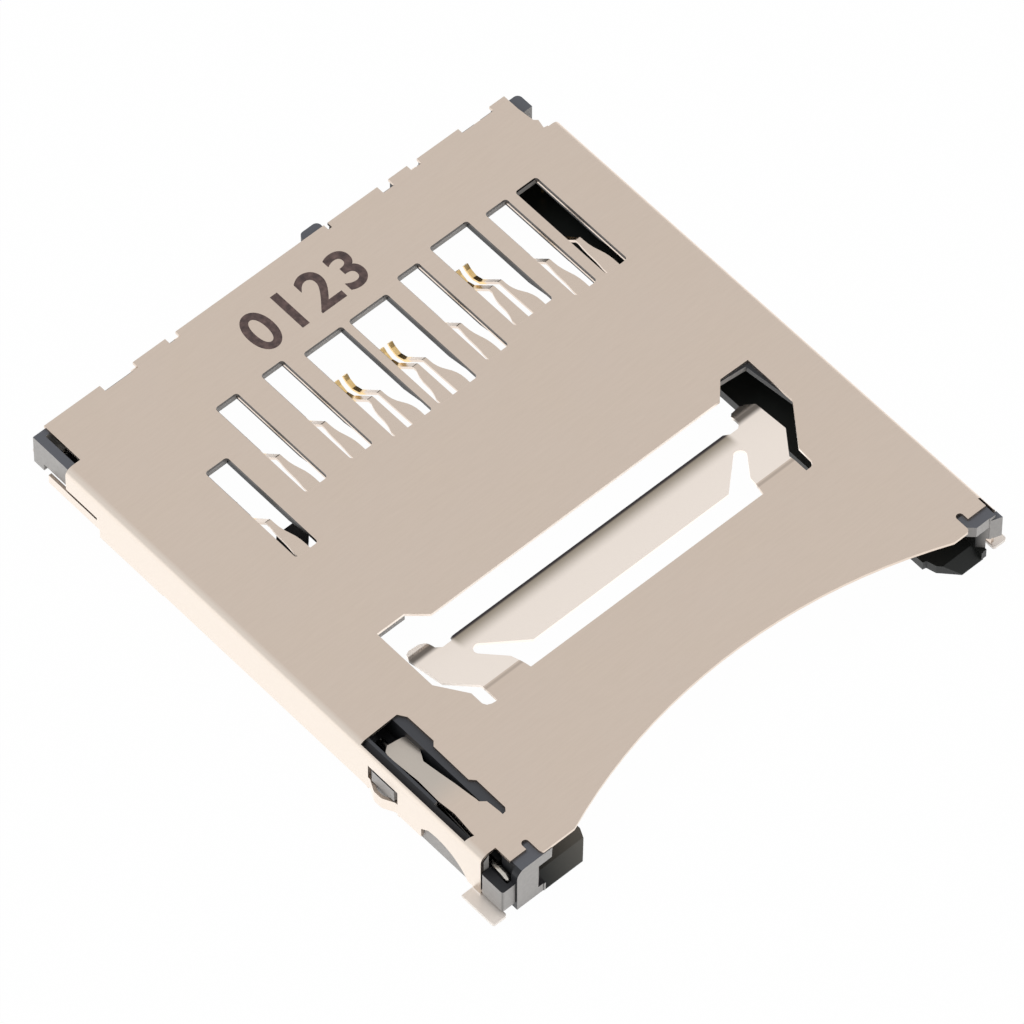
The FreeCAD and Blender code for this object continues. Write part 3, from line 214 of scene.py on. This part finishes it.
# Noise patterns: how fine each is, and how much detail it has.
GRAIN = (1.0, 4.0)
CLOUDS = (0.35, 3.0)
SPECKS = (9.0, 3.0)
MOTTLE = (6.0, 4.0)
GOLD_WEAR = (5.0, 3.0)
WIRE_WEAR = (7.0, 3.0)
INK_PATCHES = (3.5, 5.0)

# The rolled grain runs one way: its turn about z in radians, and its stretch along and across.
GRAIN_TURN = (0.0, 0.0, 0.6)
GRAIN_STRETCH = (0.9, 9.0, 1.0)
GRAIN_BUMP = (0.05, 0.02 * MM)
CLOUD_SHARE = 0.5
PLATE_DARK = srgb(198, 183, 169)
PLATE_LIGHT = srgb(206, 191, 177)
PLATE_CLOUD = srgb(202, 188, 178)
FULLY_METAL = 1.0
NOT_METAL = 0.0
BARE_METAL_ROUGHNESS = 0.25


def plated(nodes, place):
    """Warm plated steel with a faint rolled grain: its colour, and the grain."""
    turned = nodes.add(
        "ShaderNodeMapping", vector_type="POINT", Vector=place, Rotation=GRAIN_TURN, Scale=GRAIN_STRETCH
    )
    grain = nodes.noise(turned.outputs[0], *GRAIN)
    clouds = nodes.times(nodes.noise(place, *CLOUDS), CLOUD_SHARE)
    return nodes.mix(clouds, nodes.mix(grain, PLATE_DARK, PLATE_LIGHT), PLATE_CLOUD), grain


# The cover's zones across (x) and along (y): start, end and fade.
FLAP_ACROSS = (-9.4, 10.5, 0.05)
FLAP_ALONG = (-7.6, -3.4, 0.4)
CREASE_ACROSS = (-8.1, 9.2, 0.02)
CREASE_ALONG = (-7.72, -7.66, 0.08)
LIP_ACROSS = (-6.95, 8.0, 0.3)
LIP_ALONG = (-4.62, -3.0, 0.95)
LIP_EDGE_ALONG = (-4.62, -3.0, 0.12)
TIPS_ALONG = (-4.4, -4.3, 0.3)
LEAF_ACROSS = (-13.3, -11.3, 0.05)
LEAF_ALONG = (-9.3, -6.5, 2.0)
CUTS_ACROSS = (-12.6, 12.9, 0.02)
WINDOWS_ALONG = (2.0, 12.6, 0.02)
OPENING_ALONG = (-3.6, 1.0, 0.02)
# The x beyond which the sheet is the left side's fold, and three heights: the underside of the
# flat sheet, where the painted light on the opening's cut edge starts, and the top of the solder feet.
LEFT_FOLD = -13.3
SHEET_UNDERSIDE = 2.76
OPENING_CUT_FROM = 2.6
FOOT_TOP = 0.2
# The normal's x at which painted light on the side fold starts, and at which it is full.
SIDE_LIGHT_RAMP = (-0.15, -0.6)
# A normal with more than this along an axis faces along that axis.
FACES_ALONG = 0.9
CREASE_SHADE_SHARE = 0.6
FOOT_LIGHT_SHARE = 0.8
SPECK_ROUGHNESS = 0.16
LEAST_ROUGHNESS = 0.26
# Painted light on the sloping flap, which catches more light than the flat sheet.
FLAP_PAINTED_LIGHT = srgb(234, 224, 215)
# Painted shade in the crease where the flap bends down.
CREASE_PAINTED_SHADE = srgb(160, 147, 136)
# Painted shade where the flap's lip curls down, darkest at its edge.
LIP_PAINTED_SHADE = srgb(150, 140, 126)
LIP_EDGE_PAINTED_SHADE = srgb(62, 58, 60)
# Painted shade on the tabs' curled tips beside the lip.
TIP_PAINTED_SHADE = srgb(110, 103, 97)
# Painted shade on the leaf, which bends down.
LEAF_PAINTED_SHADE = srgb(186, 178, 169)
# Painted light on the left side and its fold.
SIDE_PAINTED_LIGHT = srgb(216, 205, 194)
# Painted shade on the windows' upright cut edges.
WINDOW_EDGE_PAINTED_SHADE = srgb(66, 62, 60)
# Painted light on the opening's upright cut edge.
OPENING_EDGE_PAINTED_LIGHT = srgb(226, 214, 203)
# Painted light on the solder feet, which are also not metal.
FOOT_PAINTED_LIGHT = srgb(255, 247, 239)


def sheet_metal():
    """The cover, with painted light on the flap, side, feet and opening's cut edge, and painted shade
    on the crease, lip, tab tips, leaf and window cut edges.
    """
    nodes = material("shell_metal")
    place, (x, y, z) = nodes.place()
    normal_x, _, normal_z = nodes.facing()
    plain, grain = plated(nodes, place)
    bent = nodes.under(z, SHEET_UNDERSIDE)
    on_flap = nodes.band(x, *FLAP_ACROSS)
    on_lip = nodes.band(x, *LIP_ACROSS)
    crease = nodes.times(nodes.band(x, *CREASE_ACROSS), nodes.band(y, *CREASE_ALONG))
    beside_lip = nodes.most(nodes.math("SUBTRACT", nodes.band(y, *TIPS_ALONG), on_lip), 0.0)
    side = nodes.times(nodes.ramp(normal_x, *SIDE_LIGHT_RAMP), nodes.under(x, LEFT_FOLD))
    upright = nodes.under(nodes.math("ABSOLUTE", normal_z), FACES_ALONG)
    cut = nodes.times(upright, nodes.band(x, *CUTS_ACROSS))
    opening_cut = nodes.times(cut, nodes.band(y, *OPENING_ALONG), nodes.over(z, OPENING_CUT_FROM))
    # Painted light on the feet, which also takes their metal away.
    feet = nodes.times(nodes.under(z, FOOT_TOP), FOOT_LIGHT_SHARE)
    # Painted light and painted shade laid over the plated colour, zone by zone.
    colour = nodes.paint(
        plain,
        (nodes.times(on_flap, nodes.band(y, *FLAP_ALONG), bent), FLAP_PAINTED_LIGHT),
        (nodes.times(crease, CREASE_SHADE_SHARE), CREASE_PAINTED_SHADE),
        (nodes.times(on_lip, nodes.band(y, *LIP_ALONG), bent), LIP_PAINTED_SHADE),
        (nodes.times(on_lip, nodes.band(y, *LIP_EDGE_ALONG), bent), LIP_EDGE_PAINTED_SHADE),
        (nodes.times(beside_lip, bent, on_flap), TIP_PAINTED_SHADE),
        (nodes.times(nodes.band(x, *LEAF_ACROSS), nodes.band(y, *LEAF_ALONG), bent), LEAF_PAINTED_SHADE),
        (side, SIDE_PAINTED_LIGHT),
        (nodes.times(cut, nodes.band(y, *WINDOWS_ALONG)), WINDOW_EDGE_PAINTED_SHADE),
        (opening_cut, OPENING_EDGE_PAINTED_LIGHT),
        (feet, FOOT_PAINTED_LIGHT),
    )
    specks = nodes.noise(place, *SPECKS)
    roughness = nodes.math("MULTIPLY_ADD", specks, SPECK_ROUGHNESS, LEAST_ROUGHNESS)
    return surface(nodes, colour, nodes.rest_of(feet), roughness, (grain, *GRAIN_BUMP))


# The card slot's two walls and the lead-in's outer end, across the socket.
SLOT_LEFT = -11.4
SLOT_RIGHT = 12.72
LEAD_IN_RIGHT = 13.11
MOUTH_ACROSS = (SLOT_LEFT, LEAD_IN_RIGHT, 0.02)
LEAD_IN_ACROSS = (SLOT_RIGHT, LEAD_IN_RIGHT, 0.01)
LEAD_IN_TOP = 2.0
LEAD_IN_RISE = (SLOT_RIGHT, LEAD_IN_RIGHT, 0.8)
# Heights between which the painted shade low in the mouth gives way to the plastic's own colour.
LOW_SHADE_FADES = (0.5, 0.6)
# The painted low shade turns paler to the right, on the left half and near the front only.
LOW_TURNS_PALE = (SLOT_LEFT, SLOT_LEFT + 2.8, 0.9)
LOW_NEARS_FRONT = (-6.0, -12.0)
MIDDLE = 0.0
# Where the moulding's front face, right block and left side start.
FRONT_FACE = -14.3
RIGHT_BLOCK = 13.0
LEFT_SIDE = -13.2
# The top gets painted light behind the first y, and on the left rail in front of the second.
TOP_LIT_BEHIND = 2.0
RAIL_LIT_BEFORE = -1.0
# The wall behind the slit above the rear left strip gets no painted light.
SLIT_ALONG = (9.7, 13.4, 0.02)
SLIT_TOP = 1.4
MOTTLE_SHARE = 0.3
MOTTLE_BASE = 0.8
MOTTLE_BUMP = (0.06, 0.03 * MM)
PLASTIC_ROUGHNESS = 0.42
PLASTIC_SPECULAR = 0.25
# Painted shade on the lead-in chamfer.
LEAD_IN_PAINTED_SHADE = srgb(20, 22, 22)
# Painted shade low in the mouth under the cover, and a lighter painted shade where it turns paler.
LOW_PAINTED_SHADE = srgb(34, 36, 35)
LOW_PAINTED_HALF_SHADE = srgb(120, 118, 112)


def moulded(name, own, top, side, top_from, rim):
    """Dark plastic, with painted light where it looks forward, on its outer sides and on its open top,
    and painted shade low in the mouth and on the lead-in.

    own is its colour; top and side are painted light, on the open top and on faces that look
    forward or outward. top_from is the height where the painted top light starts, and rim is
    where that light fades in across the left rail: the x with none, the x with all, and how strong.
    """
    nodes = material(name)
    place, (x, y, z) = nodes.place()
    normal_x, normal_y, normal_z = nodes.facing()
    mottled = nodes.noise(place, *MOTTLE)
    out_of_mouth = nodes.rest_of(nodes.band(x, *MOUTH_ACROSS))
    above = nodes.most(nodes.fade(z, *LOW_SHADE_FADES), out_of_mouth)
    front = nodes.under(y, FRONT_FACE)

    # Painted light on faces that look forward or outward, varied by the mottle.
    forward = nodes.most(nodes.times(normal_y, -1.0), 0.0)
    right_block = nodes.times(front, nodes.over(x, RIGHT_BLOCK))
    behind_slit = nodes.times(nodes.band(y, *SLIT_ALONG), nodes.under(z, SLIT_TOP))
    left_side = nodes.math("SUBTRACT", nodes.under(x, LEFT_SIDE), behind_slit)
    outward = nodes.times(nodes.under(normal_x, -FACES_ALONG), nodes.most(left_side, right_block))
    uneven = nodes.math("MULTIPLY_ADD", mottled, MOTTLE_SHARE, MOTTLE_BASE)
    shade = nodes.times(nodes.most(forward, outward), above, uneven)

    # Painted light on the open top and fading across the left rail.
    left_rail = nodes.times(nodes.ramp(x, *rim), nodes.under(y, RAIL_LIT_BEFORE))
    open_top = nodes.most(nodes.over(y, TOP_LIT_BEHIND), front, left_rail)
    high = nodes.times(nodes.over(z, top_from), open_top, nodes.over(normal_z, FACES_ALONG))

    # Painted shade on the lead-in, rising to the painted side light across it.
    lead_in = nodes.times(front, nodes.band(x, *LEAD_IN_ACROSS), nodes.under(z, LEAD_IN_TOP))
    lead_in_painted_shade = nodes.mix(nodes.ramp(x, *LEAD_IN_RISE), LEAD_IN_PAINTED_SHADE, side)
    # Painted shade low in the mouth, lighter towards the right on the left half.
    left_low = nodes.times(
        nodes.ramp(x, *LOW_TURNS_PALE), nodes.under(x, MIDDLE), nodes.ramp(y, *LOW_NEARS_FRONT)
    )
    painted_low_shade = nodes.mix(left_low, LOW_PAINTED_SHADE, LOW_PAINTED_HALF_SHADE)
    tone = nodes.paint(own, (high, top), (shade, side), (lead_in, lead_in_painted_shade))
    tone = nodes.mix(above, painted_low_shade, tone)
    bump = (mottled, *MOTTLE_BUMP)
    return surface(nodes, tone, NOT_METAL, PLASTIC_ROUGHNESS, bump, PLASTIC_SPECULAR)


# The fingers are gold at these heights, in front of the leads and left of the right switch.
GOLD_HEIGHTS = (-0.5, 1.6, 0.25)
GOLD_IN_FRONT_OF = 11.0
GOLD_LEFT_OF = 12.6
GOLD_DARK = srgb(206, 166, 96)
GOLD_LIGHT = srgb(234, 208, 158)


def spring_metal():
    """Plated like the cover on the leads, gold on the fingers' low ends."""
    nodes = material("contact_plate")
    place, (x, y, z) = nodes.place()
    plain, _ = plated(nodes, place)
    gold = nodes.mix(nodes.noise(place, *GOLD_WEAR), GOLD_DARK, GOLD_LIGHT)
    inside = nodes.times(nodes.under(y, GOLD_IN_FRONT_OF), nodes.under(x, GOLD_LEFT_OF))
    low = nodes.times(nodes.band(z, *GOLD_HEIGHTS), inside)
    return surface(nodes, nodes.mix(low, plain, gold), FULLY_METAL, BARE_METAL_ROUGHNESS)


# Behind this y the wire gets painted shade, where it lies under the cover.
WIRE_BRIGHT_TO = -13.6
WIRE_DARK = srgb(176, 172, 166)
WIRE_LIGHT = srgb(214, 209, 200)
WIRE_PAINTED_SHADE = srgb(84, 82, 80)


def wire_steel(name, painted_shade):
    """Drawn wire and spring strip, bright in front and darkened by painted shade behind, by the share
    given, 0 to 1.
    """
    nodes = material(name)
    place, (_, y, _) = nodes.place()
    bright = nodes.mix(nodes.noise(place, *WIRE_WEAR), WIRE_DARK, WIRE_LIGHT)
    behind = nodes.times(nodes.over(y, WIRE_BRIGHT_TO), painted_shade)
    return surface(nodes, nodes.mix(behind, bright, WIRE_PAINTED_SHADE), FULLY_METAL, BARE_METAL_ROUGHNESS)


INK_CONTRAST = 2.0
INK_ROUGHNESS = 0.6
INK_DARK = srgb(38, 26, 28)
INK_WORN = srgb(140, 114, 108)


def ink():
    """Dark brown stamping ink, uneven."""
    nodes = material("stamp_ink")
    place, _ = nodes.place()
    patches = nodes.math("POWER", nodes.noise(place, *INK_PATCHES), INK_CONTRAST)
    return surface(nodes, nodes.mix(patches, INK_DARK, INK_WORN), NOT_METAL, INK_ROUGHNESS)


SHELL = sheet_metal()
# Each moulding's top and side colours are painted light.
PLASTIC = moulded(
    "housing_plastic",
    own=srgb(44, 45, 48),
    top=srgb(94, 96, 102),
    side=srgb(184, 181, 178),
    top_from=2.2,
    rim=(-7.9, -8.0, 0.35),
)
SLIDER = moulded(
    "slider_plastic",
    own=srgb(34, 34, 36),
    top=srgb(104, 104, 106),
    side=srgb(90, 91, 94),
    top_from=1.5,
    rim=(-12.2, -12.85, 1.0),
)
CONTACT = spring_metal()
# The pin gets full painted shade behind its front end, the spring none.
SPRING = wire_steel("spring_steel", painted_shade=0.0)
PIN = wire_steel("pin_steel", painted_shade=1.0)

looks = {"shell_cover": SHELL, "housing": PLASTIC, "eject_slider": SLIDER, "cam_pin": PIN}
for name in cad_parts:
    if name.startswith(("contact_", "detect_", "protect_")):
        looks[name] = CONTACT
    elif name not in looks:
        looks[name] = SPRING
for name, look in looks.items():
    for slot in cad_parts[name].material_slots:
        slot.material = look

# The coil spring is a copy of the return spring's mesh with its own mesh data, carried by the socket
# body, and the return spring itself is hidden.
coil = bpy.data.objects.new("coil_spring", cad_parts["return_spring"].data.copy())
bpy.context.scene.collection.objects.link(coil)
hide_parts("return_spring")
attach(coil, "socket")
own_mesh(coil)

# A plain stamped number where such sockets carry one.
STAMP_SIZE = 2.9 * MM
STAMP_SPACING = 1.1
STAMP_STROKE = 0.05 * MM
STAMP_THICKNESS = 0.002 * MM
STAMP_PLACE = (-0.57 * MM, 11.73 * MM, 2.803 * MM)
letters = bpy.data.curves.new("stamp", "FONT")
letters.body = "0123"
letters.size = STAMP_SIZE
letters.space_character = STAMP_SPACING
letters.offset = STAMP_STROKE
letters.extrude = STAMP_THICKNESS
letters.align_x = "CENTER"
letters.align_y = "CENTER"
letters.materials.append(ink())
stamp = bpy.data.objects.new("stamp", letters)
stamp.location = STAMP_PLACE
bpy.context.scene.collection.objects.link(stamp)
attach(stamp, "socket")

WHITE = (1.0, 1.0, 1.0, 1.0)
FLOOR_GREY = (0.9, 0.9, 0.9, 1.0)
FLOOR_WIDTH = 8.0
FLOOR_GAP = 0.02 * MM
# How much of the floor's own white a camera sees, with the rest left for the shadow.
FLOOR_WHITE_SHARE = 0.985
FLOOR_GLOSS_EXTRA = 0.5
AMBIENT = 0.55


def floor_material():
    """A pale floor that looks white and keeps a faint shadow."""
    nodes = material("floor")
    glossy = nodes.add("ShaderNodeLightPath").outputs["Is Glossy Ray"]
    strength = nodes.math("MULTIPLY_ADD", glossy, FLOOR_GLOSS_EXTRA, 1.0)
    pale = nodes.add("ShaderNodeBsdfDiffuse", Color=FLOOR_GREY)
    white = nodes.add("ShaderNodeEmission", Color=WHITE, Strength=strength)
    mixed = nodes.add("ShaderNodeMixShader")
    shares = (nodes.times(nodes.seen(), FLOOR_WHITE_SHARE), pale.outputs[0], white.outputs[0])
    for socket, value in zip(mixed.inputs, shares):
        nodes.feed(socket, value)
    return nodes.close(mixed)


bpy.ops.mesh.primitive_plane_add(size=FLOOR_WIDTH, location=(0.0, 0.0, -FLOOR_GAP))
floor = bpy.context.object
floor.name = "floor"
floor.data.materials.append(floor_material())

# The world looks white to the camera and to gloss, and lights the socket less than that.
sky = Nodes(bpy.data.worlds.new("studio"), "ShaderNodeOutputWorld")
level = sky.ramp(sky.seen(), 0.0, 1.0, bottom=AMBIENT)
bpy.context.scene.world = sky.close(sky.add("ShaderNodeBackground", Color=WHITE, Strength=level))


def lamp(name, place, wide, power):
    """A square lamp that looks at the socket and doesn't show in its gloss."""
    light = bpy.data.lights.new(name, "AREA")
    light.size = wide
    light.energy = power
    holder = bpy.data.objects.new(name, light)
    holder.location = place
    holder.rotation_euler = (-Vector(place)).to_track_quat("-Z", "Y").to_euler()
    holder.visible_glossy = False
    bpy.context.scene.collection.objects.link(holder)


lamp("key", place=(-0.12, 0.10, 0.30), wide=0.20, power=0.35)
lamp("fill", place=(0.25, -0.20, 0.25), wide=0.25, power=0.15)

# The camera's own axes and place, solved from the photo.
CAMERA_RIGHT = (0.743793, -0.668409, 0.001054)
CAMERA_UP = (0.547235, 0.609857, 0.573243)
CAMERA_BACK = (-0.383804, -0.425797, 0.819384)
CAMERA_PLACE = (-177.8103 * MM, -197.7031 * MM, 379.5541 * MM)
FOCAL_LENGTH = 394.32
SENSOR_WIDTH = 36.0
NEAREST_SEEN = 0.01
FARTHEST_SEEN = 20.0
camera_data = bpy.data.cameras.new("camera")
camera_data.lens = FOCAL_LENGTH
camera_data.sensor_width = SENSOR_WIDTH
camera_data.clip_start = NEAREST_SEEN
camera_data.clip_end = FARTHEST_SEEN
camera = bpy.data.objects.new("camera", camera_data)
rows = list(zip(CAMERA_RIGHT, CAMERA_UP, CAMERA_BACK, CAMERA_PLACE))
camera.matrix_world = Matrix(rows + [(0.0, 0.0, 0.0, 1.0)])
bpy.context.scene.collection.objects.link(camera)
bpy.context.scene.camera = camera

bpy.context.scene.view_settings.view_transform = "Standard"
